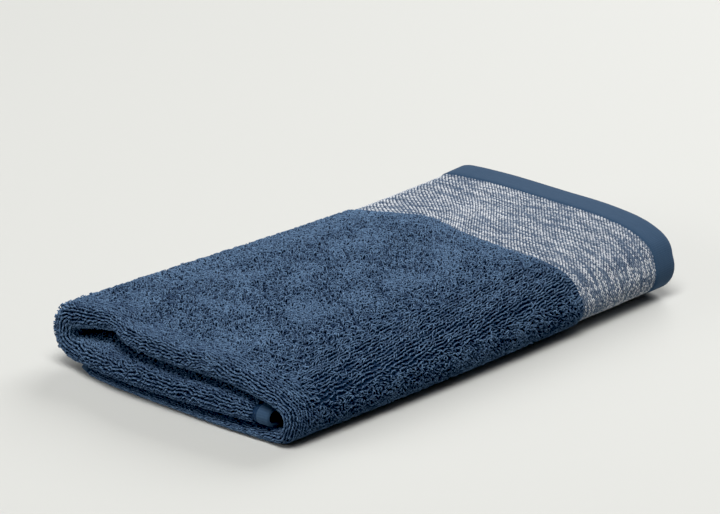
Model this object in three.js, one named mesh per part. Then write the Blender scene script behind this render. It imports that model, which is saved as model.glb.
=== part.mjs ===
import * as THREE from 'three';
import { mergeVertices } from 'three/addons/utils/BufferGeometryUtils.js';

// A small terry face towel, folded in half across its length and then in thirds along it.
// Millimetres. X runs across the folded towel, Y along it from the folded end to the hemmed
// ends, and Z up. The towel lies on the plane z = 0.

// The cloth, doubled by the first fold. Distances from a face to the middle of the doubled
// cloth: the outer face carries the pile outside, the inner faces nearly meet.
const PILE_OUTER = 4.0;
const PILE_INNER = 0.2;
const SIDE_HEM_OUTER = 3.6;
const SIDE_HEM_INNER = 1.4;

// Along the doubled cloth, from the folded end to the hemmed ends
const LENGTH = 204;
const TERRY_STEPS = 10;
const BEND_STEPS = 9;

// The ends of the cloth, a row for each change of thickness: the rolled end hem, the flat
// woven band beside it, and the terry that rolls down to the band.
// along: distance from the folded end. outer, inner: faces, as above.
const END_ROWS = [
  { place: 'hem edge', along: LENGTH, outer: 3.7, inner: 2.1 },
  { place: 'hem bulge', along: LENGTH - 1.2, outer: 4.0, inner: 1.9 },
  { place: 'hem seam', along: LENGTH - 10.4, outer: 3.9, inner: 1.9 },
  { place: 'band end', along: LENGTH - 11.2, outer: 3.5, inner: 2.2 },
  { place: 'band middle', along: LENGTH - 33, outer: 3.3, inner: 2.0 },
  { place: 'band start', along: LENGTH - 54.6, outer: 3.0, inner: 1.6 },
  { place: 'terry foot', along: LENGTH - 55.6, outer: 3.5, inner: 0.7 },
  { place: 'terry top', along: LENGTH - 57.4, outer: PILE_OUTER, inner: PILE_INNER },
];

// The second fold, seen in section from the folded end: the tucked third runs left, turns up
// into the top third, which runs right, and that turns down into the base third.
// front, far: x, y, z of the doubled cloth's middle at the folded end and the hemmed ends;
// for a row with a radius they place the centre of that turn, swept in degrees.
// full: how far the pile keeps its thickness under the layers above, front and far.
// bow: sideways bulge half way along. sag: drop two thirds along. hem: 1 in a side hem.
const FOLD_ROWS = [
  { row: 'tuck edge', front: [44.6, -102.0, 8.8], far: [43.8, 98.0, 13.4], full: [0.95, 1], hem: 1 },
  { row: 'tuck hem', front: [39.2, -102.6, 8.7], far: [38.4, 98.0, 13.5], full: [0.95, 1], hem: 1 },
  { row: 'tuck pile', front: [37.8, -102.9, 8.6], far: [37.0, 98.0, 13.5], full: [1.04, 1] },
  { row: 'tuck right', front: [24.0, -105.0, 8.8], far: [24.0, 98.0, 13.6], full: [1.18, 1] },
  { row: 'tuck middle', front: [0.0, -107.8, 8.6], far: [0.0, 98.0, 13.4], full: [1.22, 1] },
  { row: 'tuck left', front: [-28.0, -109.2, 8.2], far: [-27.0, 98.2, 12.4], full: [1.22, 1] },
  {
    row: 'left turn', front: [-50.3, -106.5, 14.2], far: [-45.0, 99.4, 18.2], full: [1.26, 1],
    sag: -1.8, radius: [6.7, 6.3], sweep: [-90, -270],
  },
  { row: 'top crease', front: [-36.0, -102.0, 20.8], far: [-35.0, 101.0, 24.5], full: [0.96, 1], sag: -1.5 },
  { row: 'top left', front: [-22.0, -105.2, 19.9], far: [-23.0, 101.2, 24.8], full: [1.03, 1], sag: -0.7 },
  { row: 'top middle', front: [0.0, -105.2, 19.5], far: [0.0, 101.2, 24.8], full: [1.03, 1] },
  { row: 'top right', front: [22.0, -102.6, 19.2], far: [25.0, 101.2, 24.7], full: [1, 1], bow: 0.4 },
  { row: 'right shoulder', front: [38.0, -101.8, 17.3], far: [42.0, 101.0, 22.8], full: [0.86, 1], bow: 1.2 },
  { row: 'right brow', front: [47.0, -101.6, 15.6], far: [50.8, 100.4, 19.1], full: [0.72, 1], bow: 2.0 },
  {
    row: 'right turn', front: [46.0, -101.5, 9.5], far: [47.2, 99.6, 12.3], full: [0.66, 1],
    bow: 2.0, radius: [6.9, 6.5], sweep: [30, -90],
  },
  { row: 'base right', front: [26.0, -103.8, 1.9], far: [26.0, 98.4, 2.8], full: [0.48, 0.74], bow: 0.5 },
  { row: 'base middle', front: [0.0, -105.2, 1.5], far: [0.0, 98.2, 2.6], full: [0.4, 0.68] },
  { row: 'base left', front: [-28.0, -106.4, 1.3], far: [-27.0, 98.2, 2.4], full: [0.34, 0.64] },
  { row: 'base pile', front: [-42.6, -105.4, 1.1], far: [-35.6, 98.0, 2.3], full: [0.29, 0.6] },
  { row: 'base hem', front: [-44.0, -105.0, 1.1], far: [-37.0, 98.0, 2.3], full: [0.3, 0.6], hem: 1 },
  { row: 'base edge', front: [-49.0, -103.2, 1.2], far: [-42.4, 98.0, 2.4], full: [0.3, 0.6], hem: 1 },
];
const TURN_STEP = 30;
const ROW_STEPS = 2;
const BOW_PEAK = 4;
const SAG_PEAK = 27 / 4;

const COLOUR = 0x3d5878;
const ROUGHNESS = 0.95;

const { lerp, clamp, degToRad } = THREE.MathUtils;

/** The rows of one place along the length as points, with a turn's row opened into its arc. */
function foldPoints(share) {
  const between = ([front, far]) => lerp(front, far, share);
  const points = [];
  for (const { front, far, full, bow = 0, sag = 0, hem = 0, radius, sweep } of FOLD_ROWS) {
    const place = new THREE.Vector3(...front).lerp(new THREE.Vector3(...far), share);
    place.x += bow * BOW_PEAK * share * (1 - share);
    place.z += sag * SAG_PEAK * share ** 2 * (1 - share);
    if (!radius) {
      points.push({ place, full: between(full), hem });
      continue;
    }
    const spans = Math.abs(sweep[1] - sweep[0]) / TURN_STEP;
    for (let span = 0; span <= spans; span++) {
      const angle = degToRad(lerp(...sweep, span / spans));
      const arm = new THREE.Vector3(Math.cos(angle), 0, Math.sin(angle));
      points.push({ place: arm.multiplyScalar(between(radius)).add(place), full: between(full), hem });
    }
  }
  return points;
}

/** Steps across the cloth's width at one place along it: middle, outward side and pile. */
function foldSection(along) {
  const points = foldPoints(along / LENGTH);
  const curve = new THREE.CatmullRomCurve3(points.map((point) => point.place));
  const steps = (points.length - 1) * ROW_STEPS;
  const section = [];
  for (let step = 0; step <= steps; step++) {
    const middle = curve.getPoint(step / steps);
    const run = curve.getTangent(step / steps);
    const side = new THREE.Vector3(-run.z, 0, run.x).normalize();
    const at = Math.min(Math.floor(step / ROW_STEPS), points.length - 2);
    const part = step / ROW_STEPS - at;
    const full = lerp(points[at].full, points[at + 1].full, part);
    const hem = lerp(points[at].hem, points[at + 1].hem, part);
    section.push({ middle, side, full, hem });
  }
  return section;
}

/** Outline of the doubled cloth from its side: one long hairpin, its bend at the folded end. */
function hairpinShape() {
  const { along: terryEnd } = END_ROWS.at(-1);
  const rows = [...END_ROWS];
  for (let step = 1; step <= TERRY_STEPS; step++) {
    const along = lerp(terryEnd, PILE_OUTER, step / TERRY_STEPS);
    rows.push({ along, outer: PILE_OUTER, inner: PILE_INNER });
  }
  const outline = rows.map(({ along, outer }) => new THREE.Vector2(along, outer));
  for (let step = 1; step < BEND_STEPS; step++) {
    const angle = Math.PI * (0.5 + step / BEND_STEPS);
    const rim = new THREE.Vector2(Math.cos(angle), Math.sin(angle)).multiplyScalar(PILE_OUTER);
    outline.push(rim.add(new THREE.Vector2(PILE_OUTER, 0)));
  }
  const back = [...rows].reverse();
  outline.push(...back.map(({ along, outer }) => new THREE.Vector2(along, -outer)));
  outline.push(...rows.map(({ along, inner }) => new THREE.Vector2(along, -inner)));
  outline.push(new THREE.Vector2(PILE_OUTER - PILE_INNER, 0));
  outline.push(...back.map(({ along, inner }) => new THREE.Vector2(along, inner)));
  return new THREE.Shape(outline);
}

/** The hairpin drawn out across the cloth's width and wrapped round the second fold. */
function towelGeometry() {
  const steps = foldSection(0).length - 1;
  const geometry = new THREE.ExtrudeGeometry(hairpinShape(), { depth: 1, steps, bevelEnabled: false });
  const corners = geometry.getAttribute('position');
  const sections = new Map();
  for (let corner = 0; corner < corners.count; corner++) {
    const along = corners.getX(corner);
    if (!sections.has(along)) {
      sections.set(along, foldSection(along));
    }
    const { middle, side, full, hem } = sections.get(along)[Math.round(corners.getZ(corner) * steps)];
    const arm = new THREE.Vector2(Math.min(along - PILE_OUTER, 0), corners.getY(corner));
    const reach = arm.length();
    const hemReach = clamp(reach, SIDE_HEM_INNER, SIDE_HEM_OUTER);
    arm.multiplyScalar(lerp(1, hemReach / reach, hem));
    const place = middle.clone().addScaledVector(side, arm.y * full);
    place.y += arm.x - Math.min(along - PILE_OUTER, 0);
    corners.setXYZ(corner, place.x, place.y, Math.max(place.z, 0));
  }
  geometry.deleteAttribute('normal');
  geometry.deleteAttribute('uv');
  const merged = mergeVertices(geometry, 1e-4);
  merged.computeVertexNormals();
  return merged;
}

const towel = new THREE.Mesh(
  towelGeometry(),
  new THREE.MeshStandardMaterial({ color: COLOUR, roughness: ROUGHNESS, metalness: 0 }),
);
towel.name = 'towel';

const group = new THREE.Group();
group.add(towel);

export default group;
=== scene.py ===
"""Looks of a folded terry face towel: its cloth, pile loops, flecked woven band and hems."""
import logging
import math
from dataclasses import dataclass, field, fields
from enum import Enum, IntEnum

import bpy
import numpy as np
from mathutils import Matrix, Vector


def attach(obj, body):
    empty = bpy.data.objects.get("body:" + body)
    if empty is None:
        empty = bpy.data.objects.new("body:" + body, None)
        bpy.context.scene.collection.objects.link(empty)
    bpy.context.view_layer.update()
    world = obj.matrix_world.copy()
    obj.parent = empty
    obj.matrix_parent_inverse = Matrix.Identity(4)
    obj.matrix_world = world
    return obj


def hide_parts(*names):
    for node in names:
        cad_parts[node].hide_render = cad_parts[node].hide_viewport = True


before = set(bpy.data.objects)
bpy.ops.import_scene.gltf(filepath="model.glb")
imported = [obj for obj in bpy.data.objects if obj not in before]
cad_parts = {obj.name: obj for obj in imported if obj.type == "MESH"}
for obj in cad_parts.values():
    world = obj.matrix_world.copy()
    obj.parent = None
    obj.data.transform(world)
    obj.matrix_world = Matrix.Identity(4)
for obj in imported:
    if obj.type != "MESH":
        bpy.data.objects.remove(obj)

MM = 0.001
TINY = 1e-9
# Seed of the first patch of loops: each patch after it has the next one
PILE_SEED = 100
log = logging.getLogger("face_towel")
Array = np.ndarray
Size = float | Array
# Two values of one kind, such as the start and end of a change
Span = tuple[float, float]
Place = tuple[float, float, float]
Colour = tuple[float, float, float, float]


class ClothZone(Enum):
    """The weaves of the cloth, in the order of the sheet's material slots."""

    TERRY = 0
    BAND = 1
    HEM = 2


class Lie(IntEnum):
    """Columns of a place on the fold: its middle, outward side, and shares of pile and hem."""

    X = 0
    Y = 1
    Z = 2
    SIDE_X = 3
    SIDE_Z = 4
    PILE = 5
    HEM = 6


@dataclass(frozen=True)
class FoldRow:
    """A row of the second fold, from the folded end to the hemmed ends, in millimetres.

    front and far place the doubled cloth's middle, or the centre of a turn that has a radius
    and a sweep in degrees. full is the share of its thickness that the pile keeps. bow is a
    sideways bulge half way along, sag a drop two thirds along, and hem is 1 in a side hem.
    """

    name: str
    front: Place
    far: Place
    full: Span
    bow: float = 0.0
    sag: float = 0.0
    hem: float = 0.0
    radius: Span | None = None
    sweep: Span = (0.0, 0.0)


@dataclass(frozen=True)
class EndRow:
    """A change of thickness near the hemmed ends: faces measured from the doubled middle."""

    name: str
    along: float
    outer: float
    inner: float


@dataclass(frozen=True)
class Crease:
    """A soft trough in the pile, from one place across and round the cloth to another."""

    name: str
    start: Span
    end: Span
    width: float
    depth: float


# The rows of the part's own fold, from the tucked third's side hem to the base's
FOLD_ROWS = (
    FoldRow("tuck edge", (44.6, -102.0, 8.8), (43.8, 98.0, 13.4), (0.95, 1.0), hem=1.0),
    FoldRow("tuck hem", (39.2, -102.6, 8.7), (38.4, 98.0, 13.5), (0.95, 1.0), hem=1.0),
    FoldRow("tuck pile", (37.8, -102.9, 8.6), (37.0, 98.0, 13.5), (1.04, 1.0)),
    FoldRow("tuck right", (24.0, -105.0, 8.8), (24.0, 98.0, 13.6), (1.18, 1.0)),
    FoldRow("tuck middle", (0.0, -107.8, 8.6), (0.0, 98.0, 13.4), (1.22, 1.0)),
    FoldRow("tuck left", (-28.0, -109.2, 8.2), (-27.0, 98.2, 12.4), (1.22, 1.0)),
    FoldRow("left turn", (-50.3, -106.5, 14.2), (-45.0, 99.4, 18.2), (1.26, 1.0),
            sag=-1.8, radius=(6.7, 6.3), sweep=(-90.0, -270.0)),
    FoldRow("top crease", (-36.0, -102.0, 20.8), (-35.0, 101.0, 24.5), (0.96, 1.0), sag=-1.5),
    FoldRow("top left", (-22.0, -105.2, 19.9), (-23.0, 101.2, 24.8), (1.03, 1.0), sag=-0.7),
    FoldRow("top middle", (0.0, -105.2, 19.5), (0.0, 101.2, 24.8), (1.03, 1.0)),
    FoldRow("top right", (22.0, -102.6, 19.2), (25.0, 101.2, 24.7), (1.0, 1.0), bow=0.4),
    FoldRow("right shoulder", (38.0, -101.8, 17.3), (42.0, 101.0, 22.8), (0.86, 1.0), bow=1.2),
    FoldRow("right brow", (47.0, -101.6, 15.6), (50.8, 100.4, 19.1), (0.72, 1.0), bow=2.0),
    FoldRow("right turn", (46.0, -101.5, 9.5), (47.2, 99.6, 12.3), (0.66, 1.0),
            bow=2.0, radius=(6.9, 6.5), sweep=(30.0, -90.0)),
    FoldRow("base right", (26.0, -103.8, 1.9), (26.0, 98.4, 2.8), (0.48, 0.74), bow=0.5),
    FoldRow("base middle", (0.0, -105.2, 1.5), (0.0, 98.2, 2.6), (0.4, 0.68)),
    FoldRow("base left", (-28.0, -106.4, 1.3), (-27.0, 98.2, 2.4), (0.34, 0.64)),
    FoldRow("base pile", (-42.6, -105.4, 1.1), (-35.6, 98.0, 2.3), (0.29, 0.6)),
    FoldRow("base hem", (-44.0, -105.0, 1.1), (-37.0, 98.0, 2.3), (0.3, 0.6), hem=1.0),
    FoldRow("base edge", (-49.0, -103.2, 1.2), (-42.4, 98.0, 2.4), (0.3, 0.6), hem=1.0),
)
# Scales that give a bow its height half way along, and a sag its depth two thirds along
BOW_PEAK = 4.0
SAG_PEAK = 27.0 / 4.0

END_ROWS = (
    EndRow("folded end", 0.0, 4.0, 0.2),
    EndRow("terry top", 146.6, 4.0, 0.2),
    EndRow("terry foot", 148.4, 3.5, 0.7),
    EndRow("band start", 149.4, 3.0, 1.6),
    EndRow("band middle", 171.0, 3.3, 2.0),
    EndRow("band end", 192.8, 3.5, 2.2),
    EndRow("hem seam", 193.6, 3.9, 1.9),
    EndRow("hem bulge", 202.8, 4.0, 1.9),
    EndRow("hem edge", 204.0, 3.7, 2.1),
)
# Distances from the folded end: where the terry starts to roll down, where it gives way to the
# band, and where the band gives way to the hem
TERRY_TOP = 146.6
TERRY_END = 149.2
HEM_START = 192.9

# How far the end of the terry lies askew, in millimetres along the towel: at which row of the
# fold, at the start (0) or end (1) of that row
SKEW = (
    ("left turn", 0, -6.0), ("left turn", 1, -7.4), ("top crease", 0, -1.8), ("top left", 0, 3.0),
    ("top middle", 0, -2.6), ("top right", 0, -4.6), ("right shoulder", 0, -0.8), ("right turn", 0, -0.9),
    ("right turn", 1, 4.0),
)

CREASES = (
    Crease("shoulder crease", (193.0, 77.0), (217.0, 41.0), 3.2, 1.2),
    Crease("lip kink", (131.0, -1.0), (144.0, 9.0), 3.0, 0.8),
    Crease("lip fold", (144.0, 9.0), (142.0, 26.0), 4.0, 0.5),
    Crease("left hollow", (122.0, 40.0), (127.0, 92.0), 6.0, 0.5),
    Crease("band dent", (116.0, 188.0), (140.0, 170.0), 6.0, 0.45),
    Crease("band dip", (176.0, 186.0), (196.0, 164.0), 7.0, 0.4),
)


@dataclass
class SoftField:
    """A smooth seeded unevenness over the cloth, mostly between -1 and 1."""

    across: float
    along: float
    seed: int
    waves: int = 30
    scales: Span = (0.55, 1.6)
    height: float = 0.7

    def at(self, across: Array, along: Array) -> Array:
        """Height of the field at places on the cloth.

        Args:
            across: Places across the cloth, in millimetres.
            along: Places along it, in millimetres.

        Returns:
            One value for each place.
        """
        rng = np.random.default_rng(self.seed)
        turn = rng.uniform(0.0, math.tau, self.waves)
        size = rng.uniform(*self.scales, self.waves)
        phase = rng.uniform(0.0, math.tau, self.waves)
        total = np.zeros(np.broadcast(across, along).shape)
        for angle, scale, start in zip(turn, size, phase):
            wave_across = math.tau * scale * math.cos(angle) / self.across
            wave_along = math.tau * scale * math.sin(angle) / self.along
            total += np.cos(wave_across * across + wave_along * along + start)
        return total * math.sqrt(2.0 / self.waves) * self.height


def smooth_step(low: float, high: float, value: Array) -> Array:
    """Eased share of value between low and high, from 0 to 1."""
    share = np.clip((value - low) / (high - low), 0.0, 1.0)
    return share * share * (3.0 - 2.0 * share)


def unit(vectors: Array) -> Array:
    """The vectors at length one, along their last axis."""
    return vectors / np.maximum(np.linalg.norm(vectors, axis=-1, keepdims=True), TINY)


def path_lengths(points: Array) -> Array:
    """Length along a path up to each of its points."""
    return np.concatenate([[0.0], np.cumsum(np.linalg.norm(np.diff(points, axis=0), axis=1))])


@dataclass
class ClothFold:
    """The doubled cloth's way through the second fold, as the CAD solid has it.

    across is a share of the cloth's width, from the tucked side hem to the base's. along is
    the distance from the folded end. around is the distance from the first fold's tip,
    positive on the outside of both turns. offset is the distance from the doubled cloth's
    middle, positive on the same side, and reach is that distance on either side. Millimetres.
    """

    rows: tuple[FoldRow, ...] = FOLD_ROWS
    ends: tuple[EndRow, ...] = END_ROWS
    creases: tuple[Crease, ...] = CREASES
    length: float = 204.0
    pile: float = 4.0
    side_hem: Span = (2.2, 3.6)
    skew: tuple[tuple[str, int, float], ...] = SKEW
    skew_start: float = 90.0
    skew_ease: tuple[float, ...] = (-6.0, -4.0, -2.0, 0.0, 2.0, 4.0, 6.0)
    turn_step: float = 30.0
    bend_radius: float = 2.1
    stations: int = 52
    samples: int = 1000
    span_steps: int = 16
    column_steps: int = 1200
    pick_steps: int = 2400
    probe: float = 0.002
    grid: Array = field(init=False)
    row_shares: dict[str, Span] = field(init=False)
    width: float = field(init=False)

    def __post_init__(self) -> None:
        """Lays out the fold's sections, the share of each row and the mean width."""
        sections = [self._section(share) for share in np.linspace(0.0, 1.0, self.stations)]
        self.grid = np.stack([section[0] for section in sections])
        self.width = float(np.mean([section[2] for section in sections]))
        knots = np.mean([section[1] for section in sections], axis=0)
        self.row_shares = {}
        place = 0
        for row in self.rows:
            spans = self._turn_spans(row)
            self.row_shares[row.name] = (float(knots[place]), float(knots[place + spans]))
            place += spans + 1

    @property
    def bend(self) -> float:
        """Half the length of the first fold's bend round the cloth's ground."""
        return self.bend_radius * math.pi / 2.0

    def _turn_spans(self, row: FoldRow) -> int:
        """Number of arc steps in a row.

        Args:
            row: The row.

        Returns:
            The steps of a turn, or none for a plain row.
        """
        if row.radius is None:
            return 0
        return round(abs(row.sweep[1] - row.sweep[0]) / self.turn_step)

    def _points(self, share: float) -> Array:
        """Points of one section, with each turn opened into its arc.

        Args:
            share: Place along the cloth, 0 at the folded end and 1 at the hemmed ends.

        Returns:
            A row of x, y, z, pile share and hem share for each point.
        """
        points = []
        for row in self.rows:
            place = (1.0 - share) * np.array(row.front) + share * np.array(row.far)
            place[Lie.X] += row.bow * BOW_PEAK * share * (1.0 - share)
            place[Lie.Z] += row.sag * SAG_PEAK * share ** 2 * (1.0 - share)
            full = (1.0 - share) * row.full[0] + share * row.full[1]
            if row.radius is None:
                points.append([*place, full, row.hem])
                continue
            radius = (1.0 - share) * row.radius[0] + share * row.radius[1]
            for angle in np.radians(np.linspace(*row.sweep, self._turn_spans(row) + 1)):
                arm = np.array([math.cos(angle), 0.0, math.sin(angle)]) * radius
                points.append([*(place + arm), full, row.hem])
        return np.array(points)

    def _section(self, share: float) -> tuple[Array, Array, float]:
        """One section of the fold, evenly stepped across the cloth.

        Args:
            share: Place along the cloth, 0 at the folded end and 1 at the hemmed ends.

        Returns:
            Rows of x, y, z, side x, side z, pile share and hem share; the share across of
            each point; and the section's length.
        """
        points = self._points(share)
        knots = points[:, :3]
        before = np.vstack([2.0 * knots[0] - knots[1], knots[:-1]])
        after = np.vstack([knots[1:], 2.0 * knots[-1] - knots[-2]])
        following = np.vstack([knots[2:], 2.0 * knots[-1] - knots[-2], knots[-1]])
        steps = np.linspace(0.0, 1.0, self.span_steps, endpoint=False)
        path, extras, starts = [], [], []
        for span in range(len(knots) - 1):
            four = (before[span], knots[span], after[span], following[span])
            starts.append(len(path))
            path.extend(self._span(four, steps))
            extras.extend((1.0 - part) * points[span, 3:] + part * points[span + 1, 3:] for part in steps)
        starts.append(len(path))
        path.append(knots[-1])
        extras.append(points[-1, 3:])
        path, extras = np.array(path), np.array(extras)
        reach = path_lengths(path)
        even = np.linspace(0.0, reach[-1], self.samples)
        middle = np.stack([np.interp(even, reach, path[:, axis]) for axis in range(3)], axis=1)
        rest = np.stack([np.interp(even, reach, extras[:, axis]) for axis in range(2)], axis=1)
        run = np.gradient(path, reach, axis=0)
        side = unit(np.stack([-run[:, 2], run[:, 0]], axis=1))
        side = unit(np.stack([np.interp(even, reach, side[:, axis]) for axis in range(2)], axis=1))
        return np.hstack([middle, side, rest]), reach[starts] / reach[-1], float(reach[-1])

    @staticmethod
    def _span(four: tuple[Array, ...], steps: Array) -> Array:
        """Points of one centripetal Catmull-Rom span.

        Args:
            four: Four knots, of which the span joins the second to the third.
            steps: Shares of the span.

        Returns:
            A point for each step.
        """
        first, start, end, last = four
        pairs = ((first, start), (start, end), (end, last))
        gaps = [max(np.linalg.norm(after - before) ** 0.5, TINY) for before, after in pairs]
        lead = (start - first) / gaps[0] - (end - first) / (gaps[0] + gaps[1]) + (end - start) / gaps[1]
        tail = (end - start) / gaps[1] - (last - start) / (gaps[1] + gaps[2]) + (last - end) / gaps[2]
        lead, tail = lead * gaps[1], tail * gaps[1]
        part = steps[:, None]
        cubic = 2.0 * start - 2.0 * end + lead + tail
        square = -3.0 * start + 3.0 * end - 2.0 * lead - tail
        return start + lead * part + square * part ** 2 + cubic * part ** 3

    def sample(self, across: Array, along: Array) -> Array:
        """The fold's middle, side, pile and hem shares at places on the cloth.

        Args:
            across: Shares across the cloth.
            along: Distances from the folded end.

        Returns:
            x, y, z, side x, side z, pile share and hem share on the last axis.
        """
        column = np.clip(across, 0.0, 1.0) * (self.samples - 1)
        station = np.clip(along / self.length, 0.0, 1.0) * (self.stations - 1)
        left = np.minimum(column.astype(int), self.samples - 2)
        low = np.minimum(station.astype(int), self.stations - 2)
        right_part = (column - left)[..., None]
        high_part = (station - low)[..., None]
        near = self.grid[low, left] * (1.0 - right_part) + self.grid[low, left + 1] * right_part
        far = self.grid[low + 1, left] * (1.0 - right_part) + self.grid[low + 1, left + 1] * right_part
        return near * (1.0 - high_part) + far * high_part

    def wrap(self, across: Array, along: Array, offset: Array) -> Array:
        """Places in space of points on the doubled cloth, wrapped as in the CAD solid.

        Args:
            across: Shares across the cloth.
            along: Distances from the folded end.
            offset: Distances from the doubled cloth's middle.

        Returns:
            x, y, z on the last axis, in millimetres.
        """
        rows = self.sample(across, along)
        run = np.minimum(along - self.pile, 0.0)
        reach = np.maximum(np.hypot(run, offset), TINY)
        scale = 1.0 + rows[..., Lie.HEM] * (np.clip(reach, *self.side_hem) / reach - 1.0)
        out = offset * scale * rows[..., Lie.PILE]
        x = rows[..., Lie.X] + rows[..., Lie.SIDE_X] * out
        y = rows[..., Lie.Y] + run * scale - run
        z = np.maximum(rows[..., Lie.Z] + rows[..., Lie.SIDE_Z] * out, 0.0)
        return np.stack([x, y, z], axis=-1)

    def share(self, row: tuple[str, int]) -> float:
        """Share across of a row's start (0) or end (1)."""
        return self.row_shares[row[0]][row[1]]

    def along_of(self, around: Array) -> Array:
        """Distance from the folded end of a place measured round the first fold's bend."""
        distance = np.abs(around)
        return np.where(distance > self.bend, self.pile + distance - self.bend, self.pile)

    def around_of(self, along: float) -> float:
        """Place round the first fold's bend of a distance from the folded end."""
        return along - self.pile + self.bend

    def place(self, across: Array, around: Array, reach: Array) -> Array:
        """Places in space of points on one cloth layer.

        Args:
            across: Shares across the cloth.
            around: Distances from the first fold's tip, positive on the outside of the turns.
            reach: Distances from the doubled cloth's middle.

        Returns:
            x, y, z on the last axis, in millimetres.
        """
        across, around, reach = np.broadcast_arrays(across, around, reach)
        reach = reach * (1.0 - self._trough(across, around) / self.pile)
        angle = np.clip(around / self.bend_radius, -math.pi / 2.0, math.pi / 2.0)
        past = np.maximum(np.abs(around) - self.bend, 0.0)
        along = self.pile - reach * np.cos(angle) + past
        return self.wrap(across, along + self._slew(across, along), reach * np.sin(angle))

    def _slew(self, across: Array, along: Array) -> Array:
        """Shift along the towel of cloth folded a little askew, most where the terry ends.

        Args:
            across: Shares across the cloth.
            along: Distances from the folded end.

        Returns:
            One shift for each place.
        """
        shares = [self.share((row, end)) for row, end, _ in self.skew]
        shifts = [shift for _, _, shift in self.skew]
        eased = [np.interp(across + ease / self.width, shares, shifts) for ease in self.skew_ease]
        fade = np.interp(along, [self.skew_start, TERRY_END, HEM_START], [0.0, 1.0, 0.0])
        return sum(eased) / len(eased) * fade

    def _trough(self, across: Array, around: Array) -> Array:
        """Depth of the soft creases at places on the cloth.

        Args:
            across: Shares across the cloth.
            around: Distances from the first fold's tip.

        Returns:
            One depth for each place.
        """
        depth = np.zeros(across.shape)
        place = np.stack([across * self.width, around], axis=-1)
        for crease in self.creases:
            start, end = np.array(crease.start), np.array(crease.end)
            run = end - start
            part = np.clip((place - start) @ run / (run @ run), 0.0, 1.0)
            gap = np.linalg.norm(place - start - part[..., None] * run, axis=-1)
            depth += crease.depth * np.exp(-(gap / crease.width) ** 2)
        return depth

    def outer(self, along: Array) -> Array:
        """Reach of the outer face at distances from the folded end."""
        return np.interp(along, [row.along for row in self.ends], [row.outer for row in self.ends])

    def inner(self, along: Array) -> Array:
        """Reach of the inner face at distances from the folded end."""
        return np.interp(along, [row.along for row in self.ends], [row.inner for row in self.ends])

    def columns(self, first: float, last: float, pitch: float, reach: float) -> Array:
        """Shares across of columns that stand a pitch apart on an outer face.

        Args:
            first: Share where the columns start.
            last: Share where they end.
            pitch: Distance between columns.
            reach: Distance of that face from the doubled cloth's middle.

        Returns:
            A share for each column.
        """
        shares = np.linspace(first, last, self.column_steps)
        half_way = np.full(shares.shape, self.length * 0.5)
        run = path_lengths(self.wrap(shares, half_way, np.full(shares.shape, reach)))
        count = max(int(run[-1] / pitch), 1)
        return np.interp((np.arange(count) + 0.5) * run[-1] / count, run, shares)

    def picks(self, first: float, last: float, pitch: float, reach: float) -> Array:
        """Places round the first bend of rows that stand a pitch apart on an outer face.

        Args:
            first: Place where the rows start.
            last: Place where they end.
            pitch: Distance between rows.
            reach: Distance of that face from the doubled cloth's middle.

        Returns:
            A place for each row.
        """
        around = np.linspace(first, last, self.pick_steps)
        stretch = np.where(np.abs(around) < self.bend, reach / self.bend_radius, 1.0)
        run = np.concatenate([[0.0], np.cumsum(np.diff(around) * stretch[1:])])
        count = max(int(run[-1] / pitch), 1)
        return np.interp((np.arange(count) + 0.5) * run[-1] / count, run, around)

    def stretch(self, across: Array, around: Array, reach: float) -> Array:
        """How much longer a face runs across than the doubled cloth's middle.

        Args:
            across: Shares across the cloth.
            around: Distances from the first fold's tip.
            reach: Distance of the face from the doubled cloth's middle.

        Returns:
            One ratio for each place.
        """
        along = self.along_of(around)
        offset = np.where(around < 0.0, -reach, reach)
        low = self.wrap(across - self.probe, along, offset)
        high = self.wrap(across + self.probe, along, offset)
        return np.linalg.norm(high - low, axis=-1) / (2.0 * self.probe * self.width)


def mesh_from_faces(name: str, points: Array, *faces: Array) -> bpy.types.Mesh:
    """A smooth mesh from points in millimetres and groups of faces.

    Args:
        name: Name of the mesh.
        points: One row of x, y, z for each corner.
        faces: For each group, one row of corner numbers for each face.

    Returns:
        The mesh, in metres.
    """
    corners = np.concatenate([group.ravel() for group in faces])
    sizes = np.concatenate([np.full(len(group), group.shape[1]) for group in faces])
    mesh = bpy.data.meshes.new(name)
    mesh.vertices.add(len(points))
    mesh.vertices.foreach_set("co", (points * MM).astype(np.float32).ravel())
    mesh.loops.add(len(corners))
    mesh.loops.foreach_set("vertex_index", corners.astype(np.int32))
    mesh.polygons.add(len(sizes))
    mesh.polygons.foreach_set("loop_start", (np.cumsum(sizes) - sizes).astype(np.int32))
    mesh.update(calc_edges=True)
    mesh.shade_smooth()
    return mesh


def add_attribute(mesh: bpy.types.Mesh, name: str, values: Array) -> None:
    """Gives each corner point of a mesh one named number for its material."""
    layer = mesh.attributes.new(name, "FLOAT", "POINT")
    layer.data.foreach_set("value", values.astype(np.float32).ravel())


def add_piece(name: str, mesh: bpy.types.Mesh) -> bpy.types.Object:
    """Puts a mesh in the scene as a piece that rides on the towel's one body.

    Args:
        name: Name of the piece.
        mesh: Its mesh, in metres.

    Returns:
        The piece's object.
    """
    piece = bpy.data.objects.new(name, mesh)
    bpy.context.scene.collection.objects.link(piece)
    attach(piece, "root")
    return piece


# Share of a round yarn's section that a tube of few sides keeps
TUBE_FILL = 0.92 ** 2


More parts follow.
